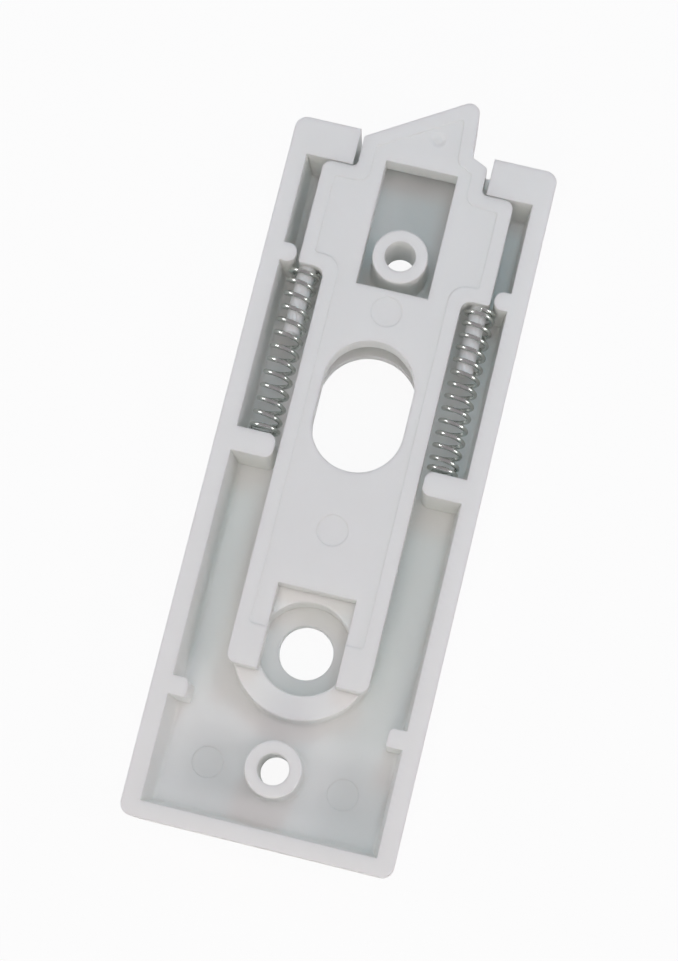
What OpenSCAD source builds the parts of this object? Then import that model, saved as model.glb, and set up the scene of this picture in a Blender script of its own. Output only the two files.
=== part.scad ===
// Surface-mount window tilt latch, seen from its open back.
// The plane z = 0 is the rim that lies on the sash, and the front face is below it.
// The origin is midway between the two screw holes, and +Y points to the nose of the bolt.

/* [Housing] */
// Length of the housing along the sash rail
body_len = 76.2; // [73:0.1:92]
// Width of the housing
body_w = 28.6; // [27:0.1:36]
// Height of the housing from its front face to its rim
body_h = 9.1; // [8.4:0.1:13]
// Thickness of the front wall
floor_t = 1.9; // [1.3:0.05:2.8]
// Thickness of each side wall at the rim
side_t = 1.95; // [1.4:0.05:2.6]
// Thickness of the foot wall at the rim
foot_t = 1.75; // [1.2:0.05:3]
// Thickness of the head wall that the bolt stops against
head_t = 4; // [2.8:0.1:4.8]
// How much each wall thickens between the rim and the front wall
wall_draft = 0.4; // [0:0.05:0.6]
// Radius of the upright outer corners
corner_r = 1.3; // [0.4:0.1:2.2]
// Radius of the outer edges round the front face
front_r = 1.5; // [0.4:0.1:1.8]
// Radius where the walls meet the front wall inside
inner_r = 0.5; // [0.2:0.05:0.9]

/* [Screws] */
// Distance from the head end to the upper screw hole
head_margin = 12.75; // [12:0.05:15]
// Distance from the foot end to the lower screw hole
foot_margin = 7.95; // [6:0.05:10]
// Diameter of the screw holes
screw_d = 3.3; // [2.8:0.1:4]
// Diameter of the countersinks in the front face
sink_d = 7; // [6:0.1:8.4]
// Depth of the countersinks
sink_depth = 1.9; // [1:0.1:3]
// Wall of the screw bosses
boss_wall = 1.3; // [1:0.05:1.6]
// Radius where the bosses meet the front wall
boss_fillet = 0.4; // [0.2:0.05:0.6]
// Radius round the top of the bosses and of the ring
rim_r = 0.2; // [0.05:0.01:0.25]

/* [Bolt] */
// Thickness of the bolt plate
plate_t = 2.95; // [2.3:0.05:3.6]
// How far the bolt plate lies below the rim
plate_sink = 0.1; // [0.05:0.05:0.4]
// Width of the neck that passes through the head wall
neck_w = 13.6; // [11:0.1:15]
// Length of the head between its shoulders and the spring seats
head_len = 11.7; // [10.6:0.1:13]
// Width of each leg beside the notch
leg_w = 3.35; // [2.6:0.05:4]
// How far the legs reach past the middle of the ring
leg_reach = 3.35; // [1.5:0.05:4.5]
// Length of the notch between the legs
notch_len = 9.15; // [7:0.05:10]
// Radius of the shoulders and of the leg ends
shoulder_r = 1; // [0.3:0.1:1.3]
// Radius in the corner between the spring seat and the shank
seat_r = 1.1; // [0.4:0.1:1.3]
// Radius of the steps beside the neck
step_r = 0.6; // [0.3:0.05:0.8]
// Radius of the sharper corners of the bolt
edge_r = 0.3; // [0.15:0.05:0.4]

/* [Nose] */
// Sharp corner of the nose, measured out from the head end before it is rounded
nose_reach = 6.3; // [4:0.1:7.5]
// Distance of that corner from the middle plane
nose_side = 4.5; // [3:0.1:5]
// Radius of the nose tip
nose_r = 1.1; // [0.5:0.05:1.6]
// How far the foot of the slanted side lies inside the head end
slant_inset = 0.65; // [0.2:0.05:1]
// How far the flank of the nose leans outwards down to its step
flank_lean = 0.43; // [0:0.01:0.6]
// How far the step beside the nose lies inside the head end
step_inset = 0.3; // [0.1:0.05:0.6]
// Drop of the step between the flank and the side of the neck
step_drop = 0.85; // [0.2:0.05:1.2]
// Extra retraction that brings the nose inside the head end
nose_tuck = 0.1; // [0:0.05:0.4]

/* [Finger hole] */
// Width of the bolt on each side of the finger hole
rail_w = 2.65; // [2:0.05:3.6]
// Length of the finger hole in the bolt
finger_len = 14.25; // [12:0.05:16]
// Distance from the spring seats down to the finger hole
finger_drop = 6.45; // [5:0.05:8]
// How far the opening in the front wall clears the finger hole on each side
opening_gap = 0.55; // [0.2:0.05:1]
// Chamfer round the opening in the front face
opening_chamfer = 0.5; // [0.2:0.05:0.9]

/* [Springs] */
// Outer diameter of the springs
spring_d = 3.4; // [2.8:0.05:3.6]
// Diameter of the spring wire
wire_d = 0.5; // [0.3:0.01:0.55]
// Length of each spring with the latch at rest
spring_len = 18.5; // [16:0.1:21]
// Number of turns of the left spring
left_turns = 13.5; // [11:0.5:16]
// Number of turns of the right spring
right_turns = 14.5; // [11:0.5:16]
// Turns that are closed up at each end
dead_turns = 1; // [0.5:0.25:2]
// Angle of the left spring's foot end round its axis, from the right over the front wall
left_start = 180; // [0:15:345]
// Angle of the right spring's foot end, counted the same way
right_start = 90; // [0:15:345]
// Length of the pegs that carry the springs
peg_len = 7.6; // [4:0.1:9]
// Chamfer at the tip of the pegs
peg_chamfer = 0.3; // [0.15:0.05:0.5]
// Clearance between a peg and the inside of its spring all round
peg_gap = 0.25; // [0.1:0.01:0.4]
// What is left of that clearance where the springs lean outwards on their pegs
lean_gap = 0.05; // [0.02:0.01:0.1]
// How far the pegs lie inside the sides of the head
peg_inset = 0.05; // [0.02:0.01:0.3]
// Clearance between a spring and the shank of the bolt
shank_gap = 0.4; // [0.2:0.05:0.6]
// Clearance between a spring and the side wall
wall_gap = 1.05; // [0.9:0.05:1.8]
// How far the springs lie below the rim
spring_sink = 0.3; // [0.15:0.05:0.6]

/* [Guides] */
// Wall of the ring that carries the legs of the bolt
ring_wall = 2.6; // [1.8:0.05:3]
// Distance from the lower screw hole up to the middle of the ring
ring_up = 13; // [12.6:0.05:15]
// Diameter of the hole in the middle of the ring
ring_hole_d = 5.8; // [4:0.1:6.4]
// Thickness of the ribs that the springs push against
rib_t = 2.6; // [2:0.05:3.4]
// Radius at the inner end of the ribs
rib_r = 0.9; // [0.3:0.05:1.1]
// Clearance between the ribs and the shank of the bolt
rib_gap = 0.5; // [0.2:0.05:0.8]
// Thickness of the rounded nubs that guide the head
nub_t = 2; // [1.4:0.05:2.4]
// Distance from the spring seats up to the middle of the nubs
nub_up = 0.8; // [0.6:0.05:1.6]
// Clearance between the nubs and the head
nub_gap = 0.35; // [0.2:0.05:0.6]
// Flat left between the two round corners of a nub
nub_flat = 0.1; // [0.05:0.05:0.6]
// Thickness of the tabs near the foot
tab_t = 2; // [1.2:0.05:2.6]
// How far the tabs stand out from the side walls
tab_w = 1.8; // [1:0.05:2.4]
// Distance from the lower screw hole up to the middle of the tabs
tab_up = 5.95; // [4.5:0.05:7]
// Radius of the head-side corner of the tabs
tab_r = 0.6; // [0.3:0.05:0.9]

/* [Fits] */
// Running clearance under the bolt and at its stops
slide_gap = 0.1; // [0.05:0.01:0.2]
// Clearance between the neck and the head wall on each side
neck_gap = 0.5; // [0.2:0.05:0.8]
// Clearance between the window and the sides of the upper boss
window_gap = 0.95; // [0.5:0.05:1.3]
// Clearance between the window and the foot side of the upper boss
window_low_gap = 0.85; // [0.4:0.05:1.4]
// Clearance left above the upper boss when the bolt is drawn back
window_high_gap = 1.5; // [0.5:0.05:2]
// Width of the bolt between the window and the deep part of the nose
window_bar = 1.3; // [0.8:0.05:1.6]

/* [Surface marks] */
// Inset of the shallow panel from the edge of the bolt
panel_inset = 1.5; // [1:0.05:2]
// Depth of the shallow panel
panel_depth = 0.12; // [0.06:0.01:0.25]
// Length of the legs past the end of the panel
panel_leg = 4.4; // [2:0.1:7]
// Diameter of the round mould marks
mark_d = 3.3; // [2:0.1:3.6]
// Depth of the round mould marks
mark_depth = 0.1; // [0.05:0.01:0.2]
// Distance of the mould marks in the tray from the middle plane
tray_mark_x = 7.3; // [6.6:0.1:8]
// Distance of the mould marks in the tray below the lower screw hole
tray_mark_down = 0.55; // [0:0.05:1.5]
// Distance of the upper mould mark of the bolt below the window
upper_mark_down = 2.35; // [1.8:0.05:3]
// Distance of the lower mould mark of the bolt below the finger hole
lower_mark_down = 6.4; // [3:0.1:7.5]
// Diameter of the gate mark on the nose
gate_mark_d = 1.7; // [1:0.1:2.4]
// Depth of the gate mark, which is dished
gate_mark_depth = 0.2; // [0.15:0.01:0.3]
// Distance of the gate mark from the middle plane
gate_mark_x = 0.95; // [0.2:0.05:1.6]
// Distance of the gate mark past the head end
gate_mark_up = 0.8; // [0.3:0.05:1.4]

/* [Hidden] */
// Angle of one flat in the rounding of an outline
arc_step = 11.25;
// Flats round a cylinder
$fn = 64;
// Overshoot of a cut past the surface that it opens
eps = 1;
// Flats round a coil of the springs, and round their wire
coil_flats = 18;
wire_flats = 8;
// Play between the closed turns of a spring
coil_play = 0.02;

plastic = [0.93, 0.94, 0.93];
steel = [0.72, 0.73, 0.75];

// Levels, from the front face up to the rim
front_z = -body_h;
floor_z = front_z + floor_t;
plate_z = -plate_sink - plate_t;
ring_z = plate_z - slide_gap;
block_z = floor_z + slide_gap;
// Features on the front wall start halfway through it
root_z = front_z + floor_t / 2;

// Places along the housing
screw_gap = body_len - head_margin - foot_margin;
upper_y = screw_gap / 2;
lower_y = -screw_gap / 2;
head_y = upper_y + head_margin;
foot_y = lower_y - foot_margin;
shoulder_y = head_y - head_t - slide_gap;
seat_y = shoulder_y - head_len;
ring_y = lower_y + ring_up;
leg_y = ring_y - leg_reach;
rib_y = seat_y - spring_len - 2 * slide_gap;
finger_y = seat_y - finger_drop;

// Widths across the housing, each as a distance from the middle plane
inner_x = body_w / 2 - side_t;
spring_id = spring_d - 2 * wire_d;
peg_d = spring_id - 2 * peg_gap;
shank_x = inner_x - shank_gap - spring_d - wall_gap;
spring_x = shank_x + shank_gap + spring_d / 2;
spring_z = -spring_sink - spring_d / 2;
peg_x = spring_x - peg_gap + lean_gap;
wing_x = peg_x + peg_d / 2 + peg_inset;
neck_x = neck_w / 2;
finger_w = 2 * (shank_x - rail_w);
boss_d = screw_d + 2 * boss_wall;

// The bolt comes in when its highest point has passed the head end
nose_tip = max([for (p = rounded(bolt_corners(leg_y))) p[1]]) - head_y;
travel = nose_tip + nose_tuck;

window_y = upper_y - boss_d / 2 - window_low_gap;
window_top = upper_y + boss_d / 2 + travel + window_high_gap;
block_y = window_top + window_bar;

function unit(v) = v / norm(v);
function turn_left(v) = [-v[1], v[0]];
function wrap(list, i) = list[(i + len(list)) % len(list)];
function point(c) = [c[0], c[1]];
function cross_z(u, v) = u[0] * v[1] - u[1] * v[0];
function short_way(angle) = angle > 180 ? angle - 360 : angle < -180 ? angle + 360 : angle;

// The arc that rounds the corner b between its neighbours a and c
function corner_arc(a, b, c, r) =
    let (u = unit(a - b), v = unit(c - b), half = acos(u * v) / 2)
    let (centre = b + unit(u + v) * r / sin(half))
    let (from = b + u * r / tan(half) - centre, to = b + v * r / tan(half) - centre)
    let (start = atan2(from[1], from[0]), sweep = short_way(atan2(to[1], to[0]) - start))
    let (steps = max(2, ceil(abs(sweep) / arc_step)))
    [for (i = [0:steps]) centre + r * [cos(start + sweep * i / steps), sin(start + sweep * i / steps)]];

// Outline through a list of [x, y, radius] corners
function rounded(corners) = [
    for (i = [0:len(corners) - 1])
    let (b = corners[i], a = wrap(corners, i - 1), c = wrap(corners, i + 1))
    each b[2] == 0 ? [point(b)] : corner_arc(point(a), point(b), point(c), b[2])
];

// The same corners moved inwards by d, for corners that run anticlockwise
function inset(corners, d) = [
    for (i = [0:len(corners) - 1])
    let (a = point(wrap(corners, i - 1)), b = point(corners[i]), c = point(wrap(corners, i + 1)))
    let (m = turn_left(unit(b - a)), n = turn_left(unit(c - b)))
    let (p = b + (m + n) * d / (1 + m * n), r = corners[i][2])
    [p[0], p[1], cross_z(b - a, c - b) > 0 ? edge_r : r + d / 2]
];

// Corners of the bolt, anticlockwise from the right leg, whose end is at end_y
function bolt_corners(end_y) = [
    [shank_x, end_y, shoulder_r],
    [shank_x, seat_y, seat_r],
    [wing_x, seat_y, edge_r],
    [wing_x, shoulder_y, shoulder_r],
    [neck_x, shoulder_y, step_r],
    [neck_x, head_y - step_inset - step_drop, step_r],
    [nose_side + flank_lean, head_y - step_inset, edge_r],
    [nose_side, head_y + nose_reach, nose_r],
    [-neck_x, head_y - slant_inset, edge_r],
    [-neck_x, shoulder_y, step_r],
    [-wing_x, shoulder_y, shoulder_r],
    [-wing_x, seat_y, edge_r],
    [-shank_x, seat_y, seat_r],
    [-shank_x, end_y, shoulder_r]
];

module prism(corners, low, high) {
    translate([0, 0, low])
        linear_extrude(high - low)
            polygon(rounded(corners));
}

// A prism whose outline lies in the plane across the housing, running along Y
module prism_along_y(corners, from, to) {
    translate([0, to, 0])
        rotate([90, 0, 0])
            linear_extrude(to - from)
                polygon(rounded(corners));
}

// A prism whose outline holds [y, z] points, running along X
module prism_along_x(corners, half) {
    rotate([90, 0, 90])
        translate([0, 0, -half])
            linear_extrude(2 * half)
                polygon(rounded(corners));
}

// A slot with round ends between two places along Y
module slot(width, low_y, high_y, low, high) {
    r = width / 2;
    translate([-r, low_y + r, low])
        cube([width, high_y - low_y - width, high - low]);
    for (y = [low_y + r, high_y - r])
        translate([0, y, low])
            cylinder(h = high - low, r = r);
}

// The flared mouth of such a slot, growing by flare towards the front
module slot_mouth(width, low_y, high_y, front, flare) {
    r = width / 2;
    for (y = [low_y + r, high_y - r])
        translate([0, y, front])
            cylinder(h = flare, r1 = r + flare, r2 = r);
    prism_along_y([
        [-r - flare, front, 0],
        [r + flare, front, 0],
        [r, front + flare, 0],
        [-r, front + flare, 0]
    ], low_y + r, high_y - r);
}

module mirrored() {
    children();
    mirror([1, 0, 0])
        children();
}

// Outer form of the housing, square at the rim and rounded round the front face
module body_block() {
    half = body_w / 2;
    intersection() {
        prism([
            [half, foot_y, corner_r],
            [half, head_y, corner_r],
            [-half, head_y, corner_r],
            [-half, foot_y, corner_r]
        ], front_z, 0);
        prism_along_y([
            [-half, 0, 0],
            [-half, front_z, front_r],
            [half, front_z, front_r],
            [half, 0, 0]
        ], foot_y, head_y);
        prism_along_x([
            [foot_y, 0, 0],
            [foot_y, front_z, front_r],
            [head_y, front_z, front_r],
            [head_y, 0, 0]
        ], half);
    }
}

// The hollow inside the walls, narrowing towards the front wall except at the head
module tray() {
    top = eps;
    grow = wall_draft * top / (-floor_z);
    low_x = inner_x - wall_draft;
    low_y = foot_y + foot_t + wall_draft;
    high_y = head_y - head_t;
    intersection() {
        prism_along_y([
            [-inner_x - grow, top, 0],
            [-low_x, floor_z, inner_r],
            [low_x, floor_z, inner_r],
            [inner_x + grow, top, 0]
        ], foot_y, head_y);
        prism_along_x([
            [foot_y + foot_t - grow, top, 0],
            [low_y, floor_z, inner_r],
            [high_y, floor_z, inner_r],
            [high_y, top, 0]
        ], body_w);
    }
}

// A screw boss that reaches from the front wall to the rim
module boss(y) {
    r = boss_d / 2;
    translate([0, y, 0])
        rotate_extrude()
            polygon(rounded([
                [0, root_z, 0],
                [r + boss_fillet, root_z, 0],
                [r + boss_fillet, floor_z, 0],
                [r, floor_z, boss_fillet],
                [r, 0, rim_r],
                [0, 0, 0]
            ]));
}

// The ring round the plain hole, which carries the legs of the bolt
module ring() {
    r = shank_x;
    translate([0, ring_y, 0])
        rotate_extrude()
            polygon(rounded([
                [r - ring_wall, root_z, 0],
                [r + boss_fillet, root_z, 0],
                [r + boss_fillet, floor_z, 0],
                [r, floor_z, boss_fillet],
                [r, ring_z, rim_r],
                [r - ring_wall, ring_z, rim_r]
            ]));
}

// Ribs, nubs and tabs that stand up from the front wall to the rim
module guides() {
    root_x = inner_x + side_t / 2;
    rib_x = shank_x + rib_gap;
    nub_x = wing_x + nub_gap;
    nub_y = seat_y + nub_up;
    nub_r = (nub_t - nub_flat) / 2;
    tab_x = inner_x - tab_w;
    tab_y = lower_y + tab_up;
    mirrored() {
        prism([
            [root_x, rib_y - rib_t, 0],
            [root_x, rib_y, 0],
            [rib_x, rib_y, rib_r],
            [rib_x, rib_y - rib_t, rib_r]
        ], root_z, 0);
        prism([
            [root_x, nub_y - nub_t / 2, 0],
            [root_x, nub_y + nub_t / 2, 0],
            [nub_x, nub_y + nub_t / 2, nub_r],
            [nub_x, nub_y - nub_t / 2, nub_r]
        ], root_z, 0);
        prism([
            [root_x, tab_y - tab_t / 2, 0],
            [root_x, tab_y + tab_t / 2, 0],
            [tab_x, tab_y + tab_t / 2, tab_r],
            [tab_x, tab_y - tab_t / 2, edge_r]
        ], root_z, 0);
    }
}

// Cutter for a round mark that is d wide at z = 0 and low_d wide at this depth
module mark(d, low_d, depth) {
    flare = (d - low_d) * eps / depth;
    translate([0, 0, -depth])
        cylinder(h = depth + eps, d1 = low_d, d2 = d + flare);
}

// Through hole of a screw, with its countersink in the front face
module screw_hole(y) {
    translate([0, y, front_z - eps])
        cylinder(h = body_h + 2 * eps, d = screw_d);
    translate([0, y, front_z])
        cylinder(h = sink_depth, d1 = sink_d, d2 = screw_d);
}

module housing() {
    gate_x = neck_x + neck_gap;
    opening_x = finger_w / 2 + opening_gap;
    opening_low = finger_y - finger_len - travel;
    color(plastic)
        difference() {
            union() {
                difference() {
                    body_block();
                    tray();
                }
                boss(upper_y);
                boss(lower_y);
                ring();
                guides();
            }
            // Gate in the head wall for the nose
            translate([-gate_x, head_y - head_t - eps, floor_z])
                cube([2 * gate_x, head_t + 2 * eps, body_h]);
            screw_hole(upper_y);
            screw_hole(lower_y);
            translate([0, ring_y, front_z - eps])
                cylinder(h = floor_t + 2 * eps, d = ring_hole_d);
            slot(2 * opening_x, opening_low, finger_y, front_z - eps, floor_z + eps);
            slot_mouth(2 * opening_x, opening_low, finger_y, front_z, opening_chamfer);
            mirrored()
                translate([tray_mark_x, lower_y - tray_mark_down, floor_z])
                    mark(mark_d, mark_d, mark_depth);
        }
}

// Peg that holds a spring straight, rooted in the head above its seat
module peg() {
    straight = seat_r + peg_len - peg_chamfer;
    translate([peg_x, seat_y + seat_r, spring_z])
        rotate([90, 0, 0]) {
            cylinder(h = straight, d = peg_d);
            translate([0, 0, straight])
                cylinder(h = peg_chamfer, d1 = peg_d, d2 = peg_d - 2 * peg_chamfer);
        }
}

module latch_bolt() {
    window_x = boss_d / 2 + window_gap;
    notch_x = shank_x - leg_w;
    notch_y = leg_y + notch_len;
    panel_y = leg_y + panel_leg;
    color(plastic)
        difference() {
            union() {
                prism(bolt_corners(leg_y), block_z, -plate_sink);
                mirrored()
                    peg();
            }
            // Only the nose reaches down to the front wall
            translate([-wing_x - eps, leg_y - eps, block_z - eps])
                cube([2 * (wing_x + eps), block_y - leg_y + eps, plate_z - block_z + eps]);
            translate([-window_x, window_y, plate_z - eps])
                cube([2 * window_x, window_top - window_y, plate_t + 2 * eps]);
            translate([-notch_x, leg_y - eps, plate_z - eps])
                cube([2 * notch_x, notch_y - leg_y + eps, plate_t + 2 * eps]);
            slot(finger_w, finger_y - finger_len, finger_y, plate_z - eps, eps);
            prism(
                inset(bolt_corners(panel_y - panel_inset), panel_inset),
                -plate_sink - panel_depth,
                eps
            );
            for (y = [window_y - upper_mark_down, finger_y - finger_len - lower_mark_down])
                translate([0, y, -plate_sink - panel_depth])
                    mark(mark_d, mark_d, mark_depth);
            translate([gate_mark_x, head_y + gate_mark_up, -plate_sink - panel_depth])
                mark(gate_mark_d, gate_mark_d / 2, gate_mark_depth);
        }
}

// Distance along the spring from one turn to the next, at its ends and between them
shut_pitch = wire_d + coil_play;
function open_pitch(turns) = (spring_len - wire_d - 2 * dead_turns * shut_pitch) / (turns - 2 * dead_turns);

// Height along the spring of the wire's middle, after t turns
function coil_rise(t, turns) = let (open = max(0, min(t, turns - dead_turns) - dead_turns))
    wire_d / 2 + (t - open) * shut_pitch + open * open_pitch(turns);

// A left-hand compression spring of round wire with closed ends, standing on z = 0
module coil_spring(turns) {
    steps = turns * coil_flats;
    mid_r = (spring_d - wire_d) / 2;
    rings = [
        for (i = [0:steps])
        let (angle = -360 * i / coil_flats, rise = coil_rise(i / coil_flats, turns))
        for (k = [0:wire_flats - 1])
        let (side = 360 * (k + 0.5) / wire_flats, r = mid_r + wire_d / 2 * cos(side))
        [r * cos(angle), r * sin(angle), rise + wire_d / 2 * sin(side)]
    ];
    walls = [
        for (i = [0:steps - 1], k = [0:wire_flats - 1])
        let (a = i * wire_flats + k, b = i * wire_flats + (k + 1) % wire_flats)
        each [[a, a + wire_flats, b], [b, a + wire_flats, b + wire_flats]]
    ];
    first = [for (k = [0:wire_flats - 1]) k];
    last = [for (k = [0:wire_flats - 1]) (steps + 1) * wire_flats - 1 - k];
    polyhedron(points = rings, faces = concat([first, last], walls), convexity = 10);
}

module placed_spring(x, turns, start) {
    color(steel)
        translate([x, rib_y + slide_gap, spring_z])
            rotate([-90, start, 0])
                coil_spring(turns);
}

module spring_left() {
    placed_spring(-spring_x, left_turns, left_start);
}

module spring_right() {
    placed_spring(spring_x, right_turns, right_start);
}

housing();
latch_bolt();
spring_left();
spring_right();
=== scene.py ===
"""Looks of the window tilt latch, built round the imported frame."""

import math

import bpy
from mathutils import Matrix, Vector


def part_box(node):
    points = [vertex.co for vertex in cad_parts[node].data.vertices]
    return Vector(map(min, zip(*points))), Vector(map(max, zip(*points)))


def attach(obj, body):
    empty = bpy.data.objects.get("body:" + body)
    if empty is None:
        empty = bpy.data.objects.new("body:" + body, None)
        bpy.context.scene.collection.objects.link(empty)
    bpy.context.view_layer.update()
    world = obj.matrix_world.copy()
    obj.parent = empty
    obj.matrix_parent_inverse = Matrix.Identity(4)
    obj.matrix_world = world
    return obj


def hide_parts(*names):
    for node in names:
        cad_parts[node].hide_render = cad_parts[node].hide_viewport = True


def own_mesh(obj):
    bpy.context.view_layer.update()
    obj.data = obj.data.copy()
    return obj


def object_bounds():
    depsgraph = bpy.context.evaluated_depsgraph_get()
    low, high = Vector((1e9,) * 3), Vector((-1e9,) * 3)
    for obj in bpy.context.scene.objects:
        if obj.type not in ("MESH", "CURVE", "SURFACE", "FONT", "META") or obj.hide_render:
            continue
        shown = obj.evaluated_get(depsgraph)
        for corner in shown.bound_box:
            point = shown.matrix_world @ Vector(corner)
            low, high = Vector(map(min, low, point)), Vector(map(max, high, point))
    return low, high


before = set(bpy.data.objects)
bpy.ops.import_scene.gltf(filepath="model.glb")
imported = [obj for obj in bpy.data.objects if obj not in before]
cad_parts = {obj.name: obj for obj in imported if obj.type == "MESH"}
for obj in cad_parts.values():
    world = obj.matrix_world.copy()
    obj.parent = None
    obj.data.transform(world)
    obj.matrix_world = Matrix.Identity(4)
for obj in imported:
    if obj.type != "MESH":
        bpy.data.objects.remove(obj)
CAD_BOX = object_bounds()
SCENE = bpy.context.scene

# The height of the photo and the focal length that was fitted to it, in pixels
IMAGE_H = 961
FOCAL_PX = 2339.07
SENSOR_MM = 36.0

# The fitted view: a turn in radians about FIT_ORIGIN, and then a shift in metres
CAMERA_TURN = Vector((-0.17927098, -0.04163271, -0.23741463))
CAMERA_SHIFT = Vector((0.00063467, -0.00218441, -0.25200583))
FIT_ORIGIN = Vector((0.0, 0.0024, -0.0091))
CLIP_NEAR = 0.01
CLIP_FAR = 20

# Springs, in metres: the axis of each coil is SPRING_X out to its side, at height SPRING_Z
SPRING_X = 0.0096
SPRING_Z = -0.002
SPRING_R = 0.0017
WIRE_R = 0.00025
CLOSED_GAP = 0.00002

# The node, side and turns of each spring, and the angle from +X towards -Z where its wire starts
SPRINGS = (
    ("spring_left", -1, 13.5, math.pi),
    ("spring_right", 1, 14.5, math.pi / 2),
)
CLOSED_TURNS = 1
STEPS_PER_TURN = 40
WIRE_SIDES = 14

# Looks: distances are in metres and colours are linear
NOISE_LOW = 0.3
NOISE_HIGH = 0.7
PLASTIC_DARK = (0.885, 0.9, 0.87)
PLASTIC_LIGHT = (0.905, 0.92, 0.89)
PLASTIC_IOR = 1.49
PLASTIC_DEPTH = 0.001
PLASTIC_SCATTER = 0.95
SOFT_EDGE = 0.00015
EDGE_SAMPLES = 6
WIRE_DARK = (0.63, 0.66, 0.63)
WIRE_LIGHT = (0.75, 0.78, 0.75)
FLOOR_HALF = 3.0
FLOOR_GREY = 0.86
FLOOR_GLOW = 0.93
WORLD_TINT = (1.0, 0.92, 0.97)
WORLD_STRENGTH = 0.34
BACKDROP_GREY = 0.97


def grey(value):
    return (value, value, value, 1)


def add_object(name, data):
    obj = bpy.data.objects.new(name, data)
    SCENE.collection.objects.link(obj)
    return obj


def add_camera():
    turn = Matrix.Rotation(CAMERA_TURN.length, 4, CAMERA_TURN.normalized())
    view = Matrix.Translation(CAMERA_SHIFT) @ turn @ Matrix.Translation(-FIT_ORIGIN)
    data = bpy.data.cameras.new("camera")
    data.sensor_width = SENSOR_MM
    data.lens = FOCAL_PX * SENSOR_MM / IMAGE_H
    data.clip_start = CLIP_NEAR
    data.clip_end = CLIP_FAR
    camera = add_object("camera", data)
    camera.matrix_world = view.inverted()
    SCENE.camera = camera


def new_material(name):
    material = bpy.data.materials.new(name)
    material.use_nodes = True
    tree = material.node_tree
    return material, tree, tree.nodes["Principled BSDF"]


def noise(tree, coords, scale, detail=3.0):
    node = tree.nodes.new("ShaderNodeTexNoise")
    node.inputs["Scale"].default_value = scale
    node.inputs["Detail"].default_value = detail
    tree.links.new(coords.outputs["Object"], node.inputs["Vector"])
    return node.outputs["Fac"]


def spread(tree, value, low, high):
    """Stretch a noise, which mostly stays near its middle, to run from low to high."""
    node = tree.nodes.new("ShaderNodeMapRange")
    node.inputs["From Min"].default_value = NOISE_LOW
    node.inputs["From Max"].default_value = NOISE_HIGH
    node.inputs["To Min"].default_value = low
    node.inputs["To Max"].default_value = high
    tree.links.new(value, node.inputs["Value"])
    return node.outputs["Result"]


def two_tones(tree, value, dark, light):
    node = tree.nodes.new("ShaderNodeMix")
    node.data_type = "RGBA"
    node.inputs["A"].default_value = (*dark, 1)
    node.inputs["B"].default_value = (*light, 1)
    tree.links.new(value, node.inputs["Factor"])
    return node.outputs["Result"]


def bump(tree, height, distance, below=None):
    node = tree.nodes.new("ShaderNodeBump")
    node.inputs["Distance"].default_value = distance
    tree.links.new(height, node.inputs["Height"])
    if below is not None:
        tree.links.new(below, node.inputs["Normal"])
    return node.outputs["Normal"]


def moulded_plastic(name):
    """White plastic that lets light in a little, with soft edges, a fine skin and faint waves."""
    material, tree, shader = new_material(name)
    coords = tree.nodes.new("ShaderNodeTexCoord")
    bevel = tree.nodes.new("ShaderNodeBevel")
    bevel.samples = EDGE_SAMPLES
    bevel.inputs["Radius"].default_value = SOFT_EDGE
    cloud = spread(tree, noise(tree, coords, scale=90), low=0, high=1)
    tone = two_tones(tree, cloud, PLASTIC_DARK, PLASTIC_LIGHT)
    tree.links.new(tone, shader.inputs["Base Color"])
    rough = spread(tree, noise(tree, coords, scale=700), low=0.36, high=0.5)
    tree.links.new(rough, shader.inputs["Roughness"])
    grain = noise(tree, coords, scale=2600)
    skin = bump(tree, grain, distance=0.000006, below=bevel.outputs["Normal"])
    swell = noise(tree, coords, scale=160, detail=1.0)
    waves = bump(tree, swell, distance=0.00005, below=skin)
    tree.links.new(waves, shader.inputs["Normal"])
    shader.inputs["IOR"].default_value = PLASTIC_IOR
    shader.inputs["Subsurface Weight"].default_value = 1.0
    shader.inputs["Subsurface Radius"].default_value = (PLASTIC_SCATTER,) * 3
    shader.inputs["Subsurface Scale"].default_value = PLASTIC_DEPTH
    return material


def spring_wire(name):
    """Bright drawn steel with a slightly uneven tone."""
    material, tree, shader = new_material(name)
    coords = tree.nodes.new("ShaderNodeTexCoord")
    drawn = spread(tree, noise(tree, coords, scale=1800), low=0, high=1)
    tone = two_tones(tree, drawn, WIRE_DARK, WIRE_LIGHT)
    tree.links.new(tone, shader.inputs["Base Color"])
    rough = spread(tree, noise(tree, coords, scale=3500), low=0.16, high=0.26)
    tree.links.new(rough, shader.inputs["Roughness"])
    skin = bump(tree, noise(tree, coords, scale=9000), distance=0.000001)
    tree.links.new(skin, shader.inputs["Normal"])
    shader.inputs["Metallic"].default_value = 1.0
    return material


def larger(tree, first, second):
    node = tree.nodes.new("ShaderNodeMath")
    node.operation = "MAXIMUM"
    tree.links.new(first, node.inputs[0])
    tree.links.new(second, node.inputs[1])
    return node.outputs[0]


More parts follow.
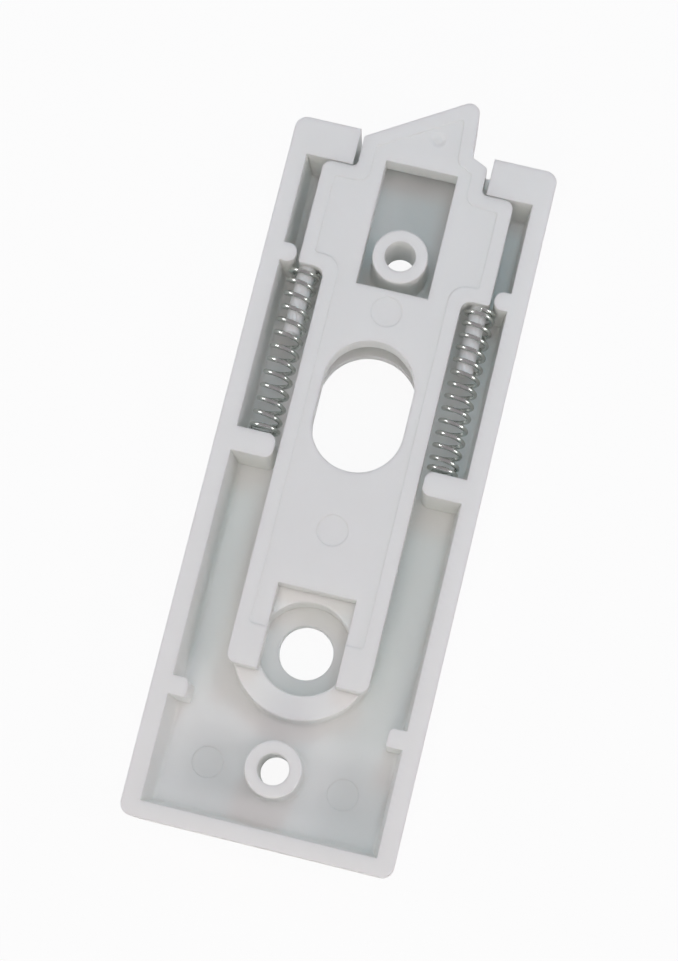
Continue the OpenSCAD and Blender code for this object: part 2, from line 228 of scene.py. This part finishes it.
def pale_floor(name):
    """A matt floor that looks nearly white and still takes the shadow of the latch."""
    material, tree, shader = new_material(name)
    shader.inputs["Base Color"].default_value = grey(FLOOR_GREY)
    shader.inputs["Roughness"].default_value = 0.9
    path = tree.nodes.new("ShaderNodeLightPath")
    seen = larger(tree, path.outputs["Is Camera Ray"], path.outputs["Is Transmission Ray"])
    mirrored = larger(tree, seen, path.outputs["Is Glossy Ray"])
    share = tree.nodes.new("ShaderNodeMath")
    share.operation = "MULTIPLY"
    share.inputs[1].default_value = FLOOR_GLOW
    tree.links.new(mirrored, share.inputs[0])
    glow = tree.nodes.new("ShaderNodeEmission")
    glow.inputs["Strength"].default_value = 1.0
    mix = tree.nodes.new("ShaderNodeMixShader")
    tree.links.new(share.outputs[0], mix.inputs["Fac"])
    tree.links.new(shader.outputs["BSDF"], mix.inputs[1])
    tree.links.new(glow.outputs["Emission"], mix.inputs[2])
    tree.links.new(mix.outputs["Shader"], tree.nodes["Material Output"].inputs["Surface"])
    return material


def paint(obj, material):
    obj.data.materials.clear()
    obj.data.materials.append(material)


def smooth(obj):
    for face in obj.data.polygons:
        face.use_smooth = True


def coil_rise(turned, turns, length):
    """Height of the middle of the wire above the lower end of the spring, after some turns."""
    closed_pitch = 2 * WIRE_R + CLOSED_GAP
    open_turns = turns - 2 * CLOSED_TURNS
    open_length = length - 2 * WIRE_R - 2 * CLOSED_TURNS * closed_pitch
    open_pitch = open_length / open_turns
    opened = min(max(turned - CLOSED_TURNS, 0), open_turns)
    return WIRE_R + (turned - opened) * closed_pitch + opened * open_pitch


def coil_mesh(name, foot, length, turns, start):
    """Round wire in a left-hand coil that rises along Y, with the lower end of its axis at foot."""
    steps = round(turns * STEPS_PER_TURN)
    points = []
    faces = []
    for i in range(steps + 1):
        angle = 2 * math.pi * i / STEPS_PER_TURN - start
        rise = coil_rise(i / STEPS_PER_TURN, turns, length)
        out = Vector((math.cos(angle), 0, math.sin(angle)))
        for k in range(WIRE_SIDES):
            around = 2 * math.pi * k / WIRE_SIDES
            reach = SPRING_R - WIRE_R + WIRE_R * math.cos(around)
            point = out * reach + Vector((0, rise + WIRE_R * math.sin(around), 0))
            points.append(point + foot)
    for i in range(steps):
        for k in range(WIRE_SIDES):
            a = i * WIRE_SIDES + k
            b = i * WIRE_SIDES + (k + 1) % WIRE_SIDES
            faces.append((a, b, b + WIRE_SIDES, a + WIRE_SIDES))
    faces.append(tuple(reversed(range(WIRE_SIDES))))
    faces.append(tuple(range(steps * WIRE_SIDES, (steps + 1) * WIRE_SIDES)))
    mesh = bpy.data.meshes.new(name)
    mesh.from_pydata(points, [], faces)
    mesh.update()
    return mesh


def add_spring(node, side, turns, start, material):
    """A smooth coil in the place of the CAD spring, fixed to the case body."""
    low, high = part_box(node)
    length = high.y - low.y
    foot = Vector((side * SPRING_X, low.y, SPRING_Z))
    name = node + "_coil"
    spring = add_object(name, coil_mesh(name, foot, length, turns, start))
    paint(spring, material)
    smooth(spring)
    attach(spring, "case")
    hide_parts(node)
    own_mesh(spring)


def add_floor(level):
    signs = ((-1, -1), (1, -1), (1, 1), (-1, 1))
    corners = [(x * FLOOR_HALF, y * FLOOR_HALF, level) for x, y in signs]
    mesh = bpy.data.meshes.new("floor")
    mesh.from_pydata(corners, [], [(0, 1, 2, 3)])
    floor = add_object("floor", mesh)
    paint(floor, pale_floor("pale_floor"))


def add_lamp(name, place, size, power, color, glint=False):
    """A round lamp aimed at the latch: a glint shows only in shiny faces, the others in dull ones."""
    data = bpy.data.lights.new(name, "AREA")
    data.shape = "DISK"
    data.size = size
    data.energy = power
    data.color = color
    lamp = add_object(name, data)
    lamp.location = place
    lamp.rotation_euler = (-Vector(place)).to_track_quat("-Z", "Y").to_euler()
    lamp.visible_diffuse = not glint
    lamp.visible_glossy = glint


def add_lamps():
    """Lamps in metres and watts, set to make the faces about as bright as in the photo."""
    white = (1.0, 1.0, 1.0)
    add_lamp("top", (0, -0.04, 0.54), size=0.25, power=0.335, color=(1.0, 0.87, 0.94))
    add_lamp("right", (0.38, 0, 0.38), size=0.2, power=0.38, color=(1.0, 0.88, 0.94))
    add_lamp("left", (-0.47, 0, 0.27), size=0.2, power=0.27, color=(0.9, 0.93, 1.0))
    add_lamp("foot", (0, -0.33, 0.42), size=0.2, power=0.18, color=(1.0, 0.94, 0.92))
    add_lamp("foot_low", (0, -0.47, 0.27), size=0.2, power=0.36, color=(1.0, 1.0, 0.86))
    add_lamp("head", (0.02, 0.06, 0.14), size=0.04, power=0.026, color=(0.42, 0.84, 1.0))
    add_lamp("glint_right", (0.45, 0, 0.22), size=0.24, power=0.9, color=white, glint=True)
    add_lamp("glint_left", (-0.45, 0, 0.22), size=0.2, power=0.9, color=white, glint=True)


def add_world():
    """Soft light all round, and a plain pale backdrop where the camera looks past the floor."""
    world = bpy.data.worlds.new("studio")
    SCENE.world = world
    world.use_nodes = True
    tree = world.node_tree
    light = tree.nodes["Background"]
    light.inputs["Color"].default_value = (*WORLD_TINT, 1)
    light.inputs["Strength"].default_value = WORLD_STRENGTH
    backdrop = tree.nodes.new("ShaderNodeBackground")
    backdrop.inputs["Color"].default_value = grey(BACKDROP_GREY)
    path = tree.nodes.new("ShaderNodeLightPath")
    mix = tree.nodes.new("ShaderNodeMixShader")
    tree.links.new(path.outputs["Is Camera Ray"], mix.inputs["Fac"])
    tree.links.new(light.outputs["Background"], mix.inputs[1])
    tree.links.new(backdrop.outputs["Background"], mix.inputs[2])
    tree.links.new(mix.outputs["Shader"], tree.nodes["World Output"].inputs["Surface"])


SCENE.view_settings.view_transform = "Standard"
add_camera()
add_floor(CAD_BOX[0][2])
add_world()
add_lamps()

plastic = moulded_plastic("white_plastic")
for node in ("housing", "latch_bolt"):
    paint(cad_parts[node], plastic)

wire = spring_wire("spring_wire")
for node, side, turns, start in SPRINGS:
    add_spring(node, side, turns, start, wire)
